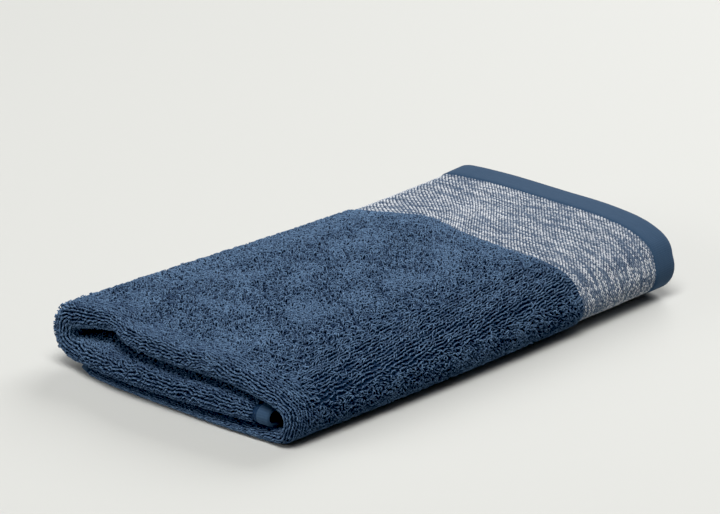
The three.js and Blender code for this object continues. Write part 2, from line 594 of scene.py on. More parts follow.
def tube_mesh(name: str, centres: Array, broad: Array, radii: Array, sides: int) -> bpy.types.Mesh:
    """Many closed yarn tubes as one mesh.

    Args:
        name: Name of the mesh.
        centres: Tubes by rings by x, y, z, in millimetres.
        broad: For each tube, the direction of its broad side.
        radii: Tubes by rings by broad radius and flat radius.
        sides: Number of sides round a tube.

    Returns:
        The mesh, with its points in the order of tubes, rings and sides.
    """
    tubes, rings, _ = centres.shape
    run = unit(np.gradient(centres, axis=1))
    wide = unit(broad[:, None, :] - np.sum(broad[:, None, :] * run, axis=-1, keepdims=True) * run)
    deep = np.cross(run, wide)
    side = np.arange(sides)
    angles = math.tau / sides * (side + 0.5 * (sides % 2 == 0)) - math.pi / 2.0
    fatten = math.sqrt(TUBE_FILL * math.tau / (sides * math.sin(math.tau / sides)))
    ring = (np.cos(angles)[:, None] * (wide * radii[..., :1])[:, :, None, :]
            + np.sin(angles)[:, None] * (deep * radii[..., 1:])[:, :, None, :])
    points = (centres[:, :, None, :] + ring * fatten).reshape(-1, 3)
    points[:, 2] = np.maximum(points[:, 2], 0.0)
    after = (side + 1) % sides
    low = sides * np.arange(rings - 1)[:, None]
    walls = np.stack([low + side, low + after, low + sides + after, low + sides + side], axis=-1)
    walls = walls.reshape(-1, 4)
    caps = np.array([side[::-1], sides * (rings - 1) + side])
    first = (sides * rings * np.arange(tubes))[:, None, None]
    return mesh_from_faces(name, points, (walls + first).reshape(-1, 4), (caps + first).reshape(-1, sides))


def add_node(
    tree: bpy.types.NodeTree, kind: str, values: dict[str | int, object] | None = None, **settings: object,
) -> bpy.types.Node:
    """Adds a node to a tree.

    Args:
        tree: The tree.
        kind: Blender's name for the kind of node.
        values: Constants for its input sockets, by name or number.
        settings: The node's own settings.

    Returns:
        The node.
    """
    node = tree.nodes.new(kind)
    for name, value in settings.items():
        setattr(node, name, value)
    for socket, value in (values or {}).items():
        node.inputs[socket].default_value = value
    return node


class FibreGroup:
    """Node group of spun yarn: a tone between a deep and a light colour, with loose fibre."""

    NAME = "spun fibre"
    INPUTS = {
        "Deep": "NodeSocketColor", "Light": "NodeSocketColor", "Tone": "NodeSocketFloat",
        "Scale": "NodeSocketFloat", "Variation": "NodeSocketFloat", "Vector": "NodeSocketVector",
    }
    OUTPUTS = {"Color": "NodeSocketColor", "Height": "NodeSocketFloat"}
    NOISE = {"Detail": 2.0, "Roughness": 0.6}
    NOISE_MIDDLE = 0.5

    @classmethod
    def tree(cls) -> bpy.types.NodeTree:
        """The group, built at its first use."""
        return bpy.data.node_groups.get(cls.NAME) or cls._build()

    @classmethod
    def _build(cls) -> bpy.types.NodeTree:
        """Makes the group's sockets and nodes.

        Returns:
            The group.
        """
        tree = bpy.data.node_groups.new(cls.NAME, "ShaderNodeTree")
        for way, sockets in (("INPUT", cls.INPUTS), ("OUTPUT", cls.OUTPUTS)):
            for name, kind in sockets.items():
                tree.interface.new_socket(name, in_out=way, socket_type=kind)
        given = add_node(tree, "NodeGroupInput").outputs
        result = add_node(tree, "NodeGroupOutput").inputs
        noise = add_node(tree, "ShaderNodeTexNoise", cls.NOISE)
        centred = add_node(tree, "ShaderNodeMath", {1: cls.NOISE_MIDDLE}, operation="SUBTRACT")
        tone = add_node(tree, "ShaderNodeMath", operation="MULTIPLY_ADD", use_clamp=True)
        blend = add_node(tree, "ShaderNodeMix", data_type="RGBA")
        for start, end in (
            (given["Vector"], noise.inputs["Vector"]),
            (given["Scale"], noise.inputs["Scale"]),
            (noise.outputs["Fac"], centred.inputs[0]),
            (centred.outputs[0], tone.inputs[0]),
            (given["Variation"], tone.inputs[1]),
            (given["Tone"], tone.inputs[2]),
            (tone.outputs[0], blend.inputs["Factor"]),
            (given["Deep"], blend.inputs["A"]),
            (given["Light"], blend.inputs["B"]),
            (blend.outputs["Result"], result["Color"]),
            (noise.outputs["Fac"], result["Height"]),
        ):
            tree.links.new(start, end)
        return tree


@dataclass(frozen=True)
class CottonFinish:
    """Dyed cotton: spun fibre between a deep and a light colour, with a faint sheen.

    scale and variation are of the fibre, bump is a strength, and depth is in millimetres.
    """

    name: str
    deep: Colour
    light: Colour
    scale: float
    variation: float
    roughness: float
    bump: float
    depth: float
    sheen: float = 0.08
    sheen_roughness: float = 0.45
    sheen_tint: Colour = (0.55, 0.68, 0.9, 1.0)
    specular: float = 0.12

    def material(self) -> bpy.types.Material:
        """The finish as a material, made at its first use."""
        return bpy.data.materials.get(self.name) or self._build()

    def _build(self) -> bpy.types.Material:
        """Makes the material.

        Returns:
            The material.
        """
        material = bpy.data.materials.new(self.name)
        material.use_nodes = True
        tree = material.node_tree
        shader = tree.nodes["Principled BSDF"]
        shader.inputs["Roughness"].default_value = self.roughness
        shader.inputs["Sheen Weight"].default_value = self.sheen
        shader.inputs["Sheen Roughness"].default_value = self.sheen_roughness
        shader.inputs["Sheen Tint"].default_value = self.sheen_tint
        shader.inputs["Specular IOR Level"].default_value = self.specular
        values = {"Deep": self.deep, "Light": self.light, "Scale": self.scale, "Variation": self.variation}
        fibre = add_node(tree, "ShaderNodeGroup", values, node_tree=FibreGroup.tree())
        bump = add_node(tree, "ShaderNodeBump", {"Strength": self.bump, "Distance": self.depth * MM})
        tree.links.new(self._spin(tree, fibre), bump.inputs["Height"])
        tree.links.new(fibre.outputs["Color"], shader.inputs["Base Color"])
        tree.links.new(bump.outputs["Normal"], shader.inputs["Normal"])
        return material

    def _spin(self, tree: bpy.types.NodeTree, fibre: bpy.types.Node) -> bpy.types.NodeSocket:
        """Gives the fibre its place and tone.

        Args:
            tree: The material's nodes.
            fibre: The fibre's node.

        Returns:
            The socket that holds the surface's height.
        """
        raise NotImplementedError


@dataclass(frozen=True)
class YarnFinish(CottonFinish):
    """A dyed yarn whose tone comes from the piece's own attribute, which also carries painted shade."""

    scale: float = 2600.0
    variation: float = 0.35
    roughness: float = 0.85
    bump: float = 0.25
    depth: float = 0.2
    attribute: str = "tone"

    def _spin(self, tree: bpy.types.NodeTree, fibre: bpy.types.Node) -> bpy.types.NodeSocket:
        """Gives the fibre its place and tone.

        Args:
            tree: The material's nodes.
            fibre: The fibre's node.

        Returns:
            The socket that holds the surface's height.
        """
        place = add_node(tree, "ShaderNodeTexCoord")
        tone = add_node(tree, "ShaderNodeAttribute", attribute_name=self.attribute)
        tree.links.new(place.outputs["Object"], fibre.inputs["Vector"])
        tree.links.new(tone.outputs["Fac"], fibre.inputs["Tone"])
        return fibre.outputs["Height"]


@dataclass(frozen=True)
class GroundFinish(CottonFinish):
    """Woven cloth seen without its pile: crossing threads in the cloth's own directions.

    threads are pitches in millimetres, turned by slant in degrees. crossing is how much the
    weave adds to the tone, and what it takes off first. drawn stretches the fibre.
    """

    WAVE_PERIOD = math.tau / 20.0
    WAVE = {"Distortion": 0.6, "Detail": 1.0, "Detail Scale": 2.0}

    scale: float = 900.0
    variation: float = 0.6
    roughness: float = 0.9
    bump: float = 0.6
    depth: float = 0.15
    threads: Span = (1.5, 1.3)
    slant: float = 0.0
    tone: float = 0.5
    crossing: Span = (0.3, 0.1)
    drawn: Place = (0.35, 1.0, 1.0)

    def _spin(self, tree: bpy.types.NodeTree, fibre: bpy.types.Node) -> bpy.types.NodeSocket:
        """Gives the fibre its place and tone.

        Args:
            tree: The material's nodes.
            fibre: The fibre's node.

        Returns:
            The socket that holds the surface's height.
        """
        links = tree.links
        cloth = add_node(tree, "ShaderNodeUVMap", uv_map=ClothSheet.UV_NAME)
        turned = add_node(tree, "ShaderNodeMapping", {"Rotation": (0.0, 0.0, math.radians(self.slant))})
        links.new(cloth.outputs["UV"], turned.inputs["Vector"])
        weave = add_node(tree, "ShaderNodeMath", operation="MULTIPLY")
        for thread, (direction, pitch) in enumerate(zip(("X", "Y"), self.threads)):
            values = {"Scale": self.WAVE_PERIOD / (pitch * MM), **self.WAVE}
            wave = add_node(tree, "ShaderNodeTexWave", values, bands_direction=direction)
            links.new(turned.outputs["Vector"], wave.inputs["Vector"])
            links.new(wave.outputs["Fac"], weave.inputs[thread])
        values = {1: self.crossing[0], 2: self.tone - self.crossing[1]}
        tone = add_node(tree, "ShaderNodeMath", values, operation="MULTIPLY_ADD")
        links.new(weave.outputs[0], tone.inputs[0])
        drawn = add_node(tree, "ShaderNodeMapping", {"Scale": self.drawn})
        links.new(cloth.outputs["UV"], drawn.inputs["Vector"])
        links.new(drawn.outputs["Vector"], fibre.inputs["Vector"])
        links.new(tone.outputs[0], fibre.inputs["Tone"])
        return weave.outputs[0]


TERRY_YARN = YarnFinish("terry loop yarn", (0.000, 0.008, 0.042, 1.0), (0.168, 0.281, 0.438, 1.0))
BAND_YARN = YarnFinish(
    "flecked band yarn", (0.145, 0.195, 0.272, 1.0), (0.70, 0.72, 0.75, 1.0), variation=0.22, sheen=0.1,
)
# The terry's ground is navy like its loop yarn but darker: painted shade in the gaps between the loops
SHADED_TERRY_GROUND = GroundFinish(
    "terry ground weave in painted shade", (0.002, 0.011, 0.034, 1.0), (0.017, 0.044, 0.096, 1.0), depth=0.6,
)
BAND_GROUND = GroundFinish(
    "flecked band weave", (0.018, 0.036, 0.074, 1.0), (0.100, 0.140, 0.205, 1.0), threads=(1.5, 0.75),
    slant=45.0, tone=0.42, variation=1.8, scale=420.0, depth=0.3,
)
HEM_WEAVE = GroundFinish(
    "plain hem weave", (0.017, 0.036, 0.070, 1.0), (0.057, 0.107, 0.182, 1.0), threads=(0.55, 0.6),
    variation=0.25, depth=0.08,
)


@dataclass
class ClothSheet:
    """The woven cloth itself: one closed thin sheet on both folds, hems and band included.

    foot_rows and hem_rows are distances from the folded end where the sheet has a row of
    corners, and band_rows gives the first, the last and the number of those on the band.
    """

    NAME = "cloth_sheet"
    UV_NAME = "cloth"

    fold: ClothFold
    patches: "tuple[PilePatch, ...]"
    flat_columns: int = 70
    turn_columns: int = 26
    turn_margin: float = 0.005
    bend_rows: int = 8
    terry_rows: int = 36
    foot_rows: tuple[float, ...] = (147.5, 148.4, 149.0, 149.4, 151.0)
    band_rows: tuple[float, float, int] = (154.0, 190.0, 16)
    hem_rows: tuple[float, ...] = (192.6, 192.9, 193.3, 193.7, 195.5, 198.0, 200.5, 202.8, 203.6, 204.0)
    pile_ground: float = 2.3
    bare_pile: float = 3.75
    float_height: float = 0.25
    edge_roll: float = 0.55
    hem_share: float = 0.4

    def rows_around(self) -> Array:
        """Places round the first bend of the sheet's rows.

        Returns:
            A place for each row, from one hemmed end to the other.
        """
        fold = self.fold
        bend = np.linspace(0.0, fold.bend, self.bend_rows)
        terry = np.linspace(fold.bend, fold.around_of(TERRY_TOP), self.terry_rows)[1:]
        ends = (*self.foot_rows, *np.linspace(*self.band_rows), *self.hem_rows)
        half = np.concatenate([bend, terry, [fold.around_of(along) for along in ends]])
        return np.concatenate([-half[:0:-1], half])

    def columns_across(self) -> Array:
        """Shares across of the sheet's columns.

        Returns:
            A share for each column, closer together in the second fold's turns.
        """
        shares = self.fold.row_shares
        turns = (shares["left turn"], (shares["right shoulder"][0], shares["right turn"][1]))
        flat = np.linspace(0.0, 1.0, self.flat_columns)
        for low, high in turns:
            flat = flat[(flat < low - self.turn_margin) | (flat > high + self.turn_margin)]
        return np.sort(np.concatenate([flat, *(np.linspace(*turn, self.turn_columns) for turn in turns)]))

    def outer_reach(self, across: Array, around: Array) -> Array:
        """Reach of the sheet's outer face: lower where loops or floats stand on it.

        Args:
            across: Shares across the cloth.
            around: Distances from the first fold's tip.

        Returns:
            One reach for each place.
        """
        fold = self.fold
        along = fold.along_of(around)
        bare = np.minimum(fold.outer(along), self.bare_pile)
        looped = np.zeros(across.shape, dtype=bool)
        for patch in self.patches:
            looped |= patch.holds(fold, across, around)
        hem = fold.sample(across, along)[..., Lie.HEM]
        terry = np.where(looped, np.minimum(self.pile_ground, bare), bare)
        terry = terry * (1.0 - hem) + bare * hem
        band = fold.outer(along) - self.float_height
        reach = np.where(along < TERRY_END, terry, band)
        return np.where(along > HEM_START, fold.outer(along), reach)

    def build(self) -> bpy.types.Object:
        """Builds and dresses the sheet.

        Returns:
            The sheet's object.
        """
        fold = self.fold
        around, across = np.meshgrid(self.rows_around(), self.columns_across(), indexing="ij")
        along = fold.along_of(around)
        outer = fold.place(across, around, self.outer_reach(across, around))
        inner = fold.place(across, around, fold.inner(along))
        border = self._border(*across.shape)
        rim = 0.5 * (outer + inner).reshape(-1, 3)[border] + self._roll(outer, border)
        points = np.vstack([outer.reshape(-1, 3), inner.reshape(-1, 3), rim])
        mesh = mesh_from_faces(self.NAME, points, self._quads(*across.shape, border))
        self._map(mesh, across, around, border)
        self._dress(mesh)
        piece = add_piece(self.NAME, mesh)
        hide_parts("towel")
        return piece

    @staticmethod
    def _border(rows: int, columns: int) -> Array:
        """Corner numbers round the edge of a face, in order."""
        numbers = np.arange(rows * columns).reshape(rows, columns)
        return np.concatenate([numbers[0, :-1], numbers[:-1, -1], numbers[-1, :0:-1], numbers[:0:-1, 0]])

    def _roll(self, outer: Array, border: Array) -> Array:
        """Outward push of the rim's middle, which rounds the cloth's edges.

        Args:
            outer: Points of the outer face, rows by columns.
            border: Corner numbers round its edge.

        Returns:
            A push for each corner of the edge.
        """
        across = np.zeros(outer.shape)
        across[:, 0] = unit(outer[:, 0] - outer[:, 1])
        across[:, -1] = unit(outer[:, -1] - outer[:, -2])
        across[0, :] += unit(outer[0] - outer[1])
        across[-1, :] += unit(outer[-1] - outer[-2])
        return unit(across.reshape(-1, 3)[border]) * self.edge_roll

    @staticmethod
    def _quads(rows: int, columns: int, border: Array) -> Array:
        """Faces of the outer side, the inner side and the rolled rim, all outwards.

        Args:
            rows: Number of rows of corners on a side.
            columns: Number of columns.
            border: Corner numbers round the edge.

        Returns:
            Four corner numbers for each face.
        """
        numbers = np.arange(rows * columns).reshape(rows, columns)
        cells = np.stack([numbers[:-1, :-1], numbers[:-1, 1:], numbers[1:, 1:], numbers[1:, :-1]], axis=-1)
        face = cells.reshape(-1, 4)
        other = face[:, ::-1] + rows * columns
        rim = 2 * rows * columns + np.arange(len(border))
        after, rim_after = np.roll(border, -1), np.roll(rim, -1)
        near = np.stack([after, border, rim, rim_after], axis=-1)
        far = np.stack([rim_after, rim, border + rows * columns, after + rows * columns], axis=-1)
        return np.vstack([face, other, near, far])

    def _map(self, mesh: bpy.types.Mesh, across: Array, around: Array, border: Array) -> None:
        """Gives the sheet a UV map in metres of cloth, so that a weave follows its folds.

        Args:
            mesh: The sheet's mesh.
            across: Shares across of its corners.
            around: Their distances from the first fold's tip.
            border: Corner numbers round the edge.
        """
        flat = np.stack([across * self.fold.width, around], axis=-1).reshape(-1, 2) * MM
        flat = np.vstack([flat, flat, flat[border]])
        corners = np.empty(len(mesh.loops), dtype=np.int32)
        mesh.loops.foreach_get("vertex_index", corners)
        layer = mesh.uv_layers.new(name=self.UV_NAME)
        layer.data.foreach_set("uv", flat[corners].astype(np.float32).ravel())

    def _dress(self, mesh: bpy.types.Mesh) -> None:
        """Gives each face the weave of its zone.

        Args:
            mesh: The sheet's mesh.
        """
        for finish in (SHADED_TERRY_GROUND, BAND_GROUND, HEM_WEAVE):
            mesh.materials.append(finish.material())
        uv = np.empty(len(mesh.loops) * 2, dtype=np.float32)
        mesh.uv_layers[self.UV_NAME].data.foreach_get("uv", uv)
        centre = uv.reshape(-1, 4, 2).mean(axis=1) / MM
        along = self.fold.along_of(centre[:, 1])
        hem = self.fold.sample(centre[:, 0] / self.fold.width, along)[:, Lie.HEM]
        zone = np.full(len(along), ClothZone.TERRY.value, dtype=np.int32)
        zone[along > TERRY_END] = ClothZone.BAND.value
        zone[(along > HEM_START) | (hem > self.hem_share)] = ClothZone.HEM.value
        mesh.polygons.foreach_set("material_index", zone)


@dataclass(frozen=True)
class PilePatch:
    """A stretch of cloth whose pile shows: rows of the fold, and places round the first bend.

    pitch spaces its columns and rows, and skew is how far a column leans across for each
    millimetre along. laid is the side of the first bend that another layer lies on: 1 for the
    outside of the turns, -1 for the inside and 0 for neither.
    """

    name: str
    first: tuple[str, int]
    last: tuple[str, int]
    low: float
    high: float
    pitch: Span = (0.79, 1.0)
    skew: float = 0.0
    laid: float = 0.0

    def span(self, fold: ClothFold) -> Span:
        """Shares across where the patch starts and ends."""
        return fold.share(self.first), fold.share(self.last)

    def holds(self, fold: ClothFold, across: Array, around: Array) -> Array:
        """Whether places on the cloth lie in the patch."""
        start, end = self.span(fold)
        return (across >= start) & (across <= end) & (around >= self.low) & (around <= self.high)


PILE_PATCHES = (
    PilePatch("left_turn_pile", ("left turn", 0), ("left turn", 1), -9.0, 149.0),
    PilePatch("top_left_pile", ("left turn", 1), ("top middle", 0), -9.0, 149.0),
    PilePatch("top_right_pile", ("top middle", 0), ("top right", 0), -9.0, 149.0),
    PilePatch("right_turn_pile", ("top right", 0), ("right turn", 1), -7.0, 149.0,
              pitch=(0.62, 1.24), skew=0.12),
    PilePatch("tuck_pile", ("tuck pile", 0), ("left turn", 0), -20.0, 7.0, laid=1.0),
    PilePatch("base_pile", ("right turn", 1), ("base pile", 0), -16.0, 5.0, laid=-1.0),
)


@dataclass(frozen=True)
class LoopStyle:
    """How loops stand, as one value each or as one for each loop.

    yarn is its radius and span half a loop's width, in millimetres as lean and uneven are.
    scatter is of the loops' directions, in degrees. tone runs from deep (0) to light (1).
    """

    yarn: Size
    span: Size
    lean: Size
    uneven: Size
    scatter: Size
    tone: Size


OPEN_LOOPS = LoopStyle(yarn=0.21, span=0.46, lean=0.52, uneven=0.60, scatter=75.0, tone=0.97)
PRESSED_LOOPS = LoopStyle(yarn=0.25, span=0.50, lean=0.72, uneven=0.17, scatter=75.0, tone=0.83)
# The shoulder loops' lower tone is partly painted shade on the right turn's side
SHOULDER_LOOPS = LoopStyle(yarn=0.25, span=0.64, lean=0.18, uneven=0.28, scatter=26.0, tone=0.77)
END_LOOPS = LoopStyle(yarn=0.26, span=0.43, lean=0.18, uneven=0.32, scatter=24.0, tone=0.77)


@dataclass
class PileLie:
    """Where the pile stands open, lies pressed, parts in rows on a turn or rounds the folded end.

    A span eases from its first value to its second. Spans are millimetres of cloth, but slope
    and upward are shares of the cloth's outward side, and settling and pressing are heights of
    the pressed field.
    """

    fold: ClothFold
    brow: Span = (183.0, 203.0)
    brow_wander: float = 5.0
    slope: Span = (0.06, 0.3)
    upward: Span = (0.1, 0.6)
    ending: Span = (4.0, 22.0)
    rolled: Span = (136.0, 147.0)
    settled: Span = (20.0, 120.0)
    settling: Span = (-0.2, -0.1)
    pressing: Span = (-0.3, 0.6)
    edge: float = 116.0
    edge_width: Span = (4.0, 11.0)
    edge_start: Span = (25.0, 45.0)
    pressed: SoftField = field(default_factory=lambda: SoftField(22.0, 18.0, 11))

    def turned(self, across: Array, around: Array) -> Array:
        """How far the pile opens in rows on the shoulder of a turn.

        Args:
            across: Shares across the cloth.
            around: Distances from the first fold's tip.

        Returns:
            A share for each place, 0 flat to 1.
        """
        side = self.fold.sample(across, self.fold.along_of(around))
        flat = across * self.fold.width
        brow = smooth_step(*self.brow, flat + self.brow_wander * self.pressed.at(flat, around))
        turn = np.maximum(smooth_step(*self.slope, np.abs(side[..., Lie.SIDE_X])), brow)
        return turn * smooth_step(*self.upward, side[..., Lie.SIDE_Z])

    def ended(self, around: Array) -> Array:
        """How near the cloth is to the first fold's bend, 0 far to 1."""
        return 1.0 - smooth_step(*self.ending, np.abs(around))

    def mix(self, across: Array, around: Array) -> LoopStyle:
        """The loops' sizes at places on the cloth, mixed from their styles.

        Args:
            across: Shares across the cloth.
            around: Distances from the first fold's tip.

        Returns:
            A style with one of each size for each place.
        """
        flat = across * self.fold.width
        ended = self.ended(around)
        bends = np.maximum(self.turned(across, around), ended)
        rolled = smooth_step(*self.rolled, self.fold.along_of(around))
        trend = np.interp(around, self.settled, self.settling)
        press = smooth_step(*self.pressing, self.pressed.at(flat, around) + trend)
        edge = 1.0 - smooth_step(*self.edge_width, np.abs(flat - self.edge))
        edge = edge * smooth_step(*self.edge_start, around)
        press = np.maximum(np.maximum(press, rolled), edge) * (1.0 - bends)
        shares = (
            (OPEN_LOOPS, 1.0 - bends - press), (PRESSED_LOOPS, press),
            (SHOULDER_LOOPS, bends - ended), (END_LOOPS, ended),
        )
        sizes = (size.name for size in fields(LoopStyle))
        return LoopStyle(*(sum(getattr(style, size) * share for style, share in shares) for size in sizes))


@dataclass
class PileLoops:
    """The terry loops of one patch: arches of yarn, loose on the flat and in rows on bends.

    A spread or a range is of seeded random draws. Millimetres, with slants in degrees.
    """

    fold: ClothFold
    lie: PileLie
    patch: PilePatch
    seed: int

    # Places: faces that the pitches are measured on, play on the flat and how much less of it
    # on bends, and the share of every other column that parts on a turn
    column_reach: float = 3.0
    row_reach: float = 3.2
    play: Span = (0.3, 0.16)
    parting: float = 0.96
    wander: float = 0.3

    # Directions and sizes
    row_slant: float = -8.0
    end_slant: float = 84.0
    lean_range: Span = (0.3, 1.2)
    lean_turn: float = 3.0
    lean_spread: float = 0.8
    yarn_spread: float = 0.08
    span_spread: float = 0.14
    least_stretch: float = 0.4

    # Heights: clumped and single unevenness, plumper loops in the slot of the left turn and
    # lower ones inside the rest, pressed ones under another layer, and strays, with more of
    # them at the low left corner
    root: float = 2.0
    least_height: float = 0.4
    clumping: Span = (1.2, 0.5)
    slot: float = 104.0
    slot_width: Span = (14.0, 32.0)
    plump: Span = (0.45, -0.12)
    inside: Span = (0.0, 4.0)
    laid_down: float = 0.5
    laid_side: Span = (0.5, 4.0)
    stray: float = 0.004
    stray_range: Span = (0.1, 0.7)
    corner_stray: float = 0.25
    corner_left: Span = (-0.1, 0.6)
    corner_low: Span = (-1.0, -0.6)

    # An arch by its rings, and a yarn by its sides, with painted shade on each yarn's two lower sides
    rise: tuple[float, ...] = (0.0, 1.0, 1.0, 0.0)
    out: tuple[float, ...] = (-1.0, -0.62, 0.62, 1.0)
    taper: tuple[float, ...] = (0.75, 1.0, 1.0, 0.75)
    side_shade: tuple[float, ...] = (1.0, 0.3, 0.3)

    # Tones, all painted shade: darker deeper down toward the roots, and darker where the right turn curls
    # under
    shade_depth: float = 0.48
    tone_spread: float = 0.1
    under_shade: float = 0.28
    under_right: Span = (0.2, 0.6)
    under_low: Span = (-0.2, 0.4)

    drift: SoftField = field(default_factory=lambda: SoftField(13.0, 11.0, 12))
    sway: SoftField = field(default_factory=lambda: SoftField(8.0, 10.0, 13))
    clump: SoftField = field(default_factory=lambda: SoftField(1.8, 1.7, 14))

    def sites(self, rng: np.random.Generator) -> tuple[Array, Array]:
        """Places of the loops.

        Args:
            rng: The patch's random draws.

        Returns:
            Shares across, and distances from the first fold's tip.
        """
        fold = self.fold
        patch = self.patch
        start, end = patch.span(fold)
        middle = 0.5 * (patch.low + patch.high)
        drift = patch.skew / fold.width
        spare = drift * (patch.high - middle)
        columns = fold.columns(start - spare, end + spare, patch.pitch[0], self.column_reach)
        rows = fold.picks(patch.low, patch.high, patch.pitch[1], self.row_reach)
        across, around = np.meshgrid(columns, rows, indexing="ij")
        across = across - drift * (around - middle)
        step = np.gradient(rows)[None, :]
        gap = np.gradient(columns)[:, None]
        ended = self.lie.ended(around)
        turned = self.lie.turned(across, around)
        bends = np.maximum(turned, ended)
        sway = self.wander * self.sway.at(across * fold.width, around) * bends
        play = self.play[0] - self.play[1] * bends
        odd_column = (np.arange(len(columns)) % 2)[:, None]
        odd_row = (np.arange(len(rows)) % 2)[None, :]
        between = odd_column * turned * (1.0 - ended)
        stagger = 0.5 * odd_column * (1.0 - ended) * (1.0 - between)
        around = around + step * (stagger + rng.uniform(-1.0, 1.0, across.shape) * play)
        across = across + gap * (0.5 * odd_row * ended + rng.uniform(-1.0, 1.0, across.shape) * play)
        around = around + sway * ended
        across = across + sway * (1.0 - ended) / fold.width
        keep = (fold.along_of(around) < TERRY_END) & (across > start) & (across < end)
        keep &= rng.random(across.shape) > self.parting * between
        return across[keep], around[keep]

    def _tips(self, rng: np.random.Generator, across: Array, around: Array, tip: Array) -> Array:
        """Heights of the loops' tips, once the layers lie on each other and a few loops stray.

        Args:
            rng: The patch's random draws.
            across: Shares across the cloth.
            around: Distances from the first fold's tip.
            tip: Reach of each tip in a loose cloth.

        Returns:
            The reach of each tip.
        """
        slot = 1.0 - smooth_step(*self.slot_width, np.abs(across * self.fold.width - self.slot))
        plump = self.plump[0] * slot + self.plump[1] * (1.0 - slot)
        tip = np.maximum(tip, self.root + self.least_height) + plump * smooth_step(*self.inside, -around)
        tip = tip - self.laid_down * smooth_step(*self.laid_side, around * self.patch.laid)
        side = self.fold.sample(across, self.fold.along_of(around))
        left = smooth_step(*self.corner_left, -side[:, Lie.SIDE_X])
        corner = self.lie.ended(around) * left * smooth_step(*self.corner_low, side[:, Lie.SIDE_Z])
        strays = rng.random(len(tip)) < self.stray + self.corner_stray * corner
        return tip + strays * rng.uniform(*self.stray_range, len(tip))

    def _light(self, across: Array, around: Array) -> Array:
        """Painted shade on the loops: darker where the right turn curls under.

        Args:
            across: Shares across the cloth.
            around: Distances from the first fold's tip.

        Returns:
            A share of the tone for each place.
        """
        side = self.fold.sample(across, self.fold.along_of(around))
        right = smooth_step(*self.under_right, side[:, Lie.SIDE_X])
        return 1.0 - self.under_shade * (right * (1.0 - smooth_step(*self.under_low, side[:, Lie.SIDE_Z])))

    def build(self) -> bpy.types.Object:
        """Builds and dresses the patch's loops as one mesh.

        Returns:
            The loops' object.
        """
        fold = self.fold
        rng = np.random.default_rng(self.seed)
        across, around = self.sites(rng)
        count = len(across)
        flat = across * fold.width
        style = self.lie.mix(across, around)
        turned, ended = self.lie.turned(across, around), self.lie.ended(around)
        slant = self.end_slant * ended + self.row_slant * turned * (1.0 - ended)
        slant = np.radians(slant + style.scatter * rng.normal(0.0, 1.0, count))[:, None]
        lean = style.lean * rng.uniform(*self.lean_range, count)
        lean_way = self.drift.at(flat, around) * self.lean_turn + rng.normal(0.0, self.lean_spread, count)
        yarn = style.yarn * (1.0 + rng.normal(0.0, self.yarn_spread, count))
        span = style.span * (1.0 + rng.normal(0.0, self.span_spread, count))
        top = fold.outer(fold.along_of(around)) - yarn
        clump = self.clumping[0] * np.maximum(self.clump.at(flat, around), 0.0)
        single = self.clumping[1] * np.abs(rng.normal(0.0, 1.0, count))
        tip = self._tips(rng, across, around, top - style.uneven * (clump + single))

        rise = np.array(self.rise)
        run = span[:, None] * np.array(self.out)
        drop = lean[:, None] * rise
        go_around = run * np.cos(slant) + drop * np.cos(lean_way)[:, None]
        go_across = run * np.sin(slant) + drop * np.sin(lean_way)[:, None]
        reach = self.root + (tip - self.root)[:, None] * rise
        stretch = np.maximum(fold.stretch(across, around, self.column_reach), self.least_stretch)[:, None]
        bend_stretch = np.where(np.abs(around) < fold.bend, fold.bend_radius / self.row_reach, 1.0)[:, None]
        centres = fold.place(
            across[:, None] + go_across / (fold.width * stretch),
            around[:, None] + go_around * bend_stretch,
            reach,
        )
        chord = centres[:, -1] - centres[:, 0]
        up = centres[:, 1] + centres[:, 2] - centres[:, 0] - centres[:, 3]
        broad = unit(np.cross(unit(chord), unit(up)))
        radii = np.repeat((yarn[:, None] * np.array(self.taper))[..., None], 2, axis=2)
        mesh = tube_mesh(self.patch.name, centres, broad, radii, len(self.side_shade))
        # Painted shade: darker where the right turn curls under, deeper down toward the roots, and on each
        # yarn's two lower sides
        tone = style.tone * self._light(across, around) + rng.normal(0.0, self.tone_spread, count)
        shade = tone[:, None] * np.exp(-np.maximum(top[:, None] - reach, 0.0) / self.shade_depth)
        add_attribute(mesh, TERRY_YARN.attribute, shade[..., None] * np.array(self.side_shade))
        mesh.materials.append(TERRY_YARN.material())
        return add_piece(self.patch.name, mesh)


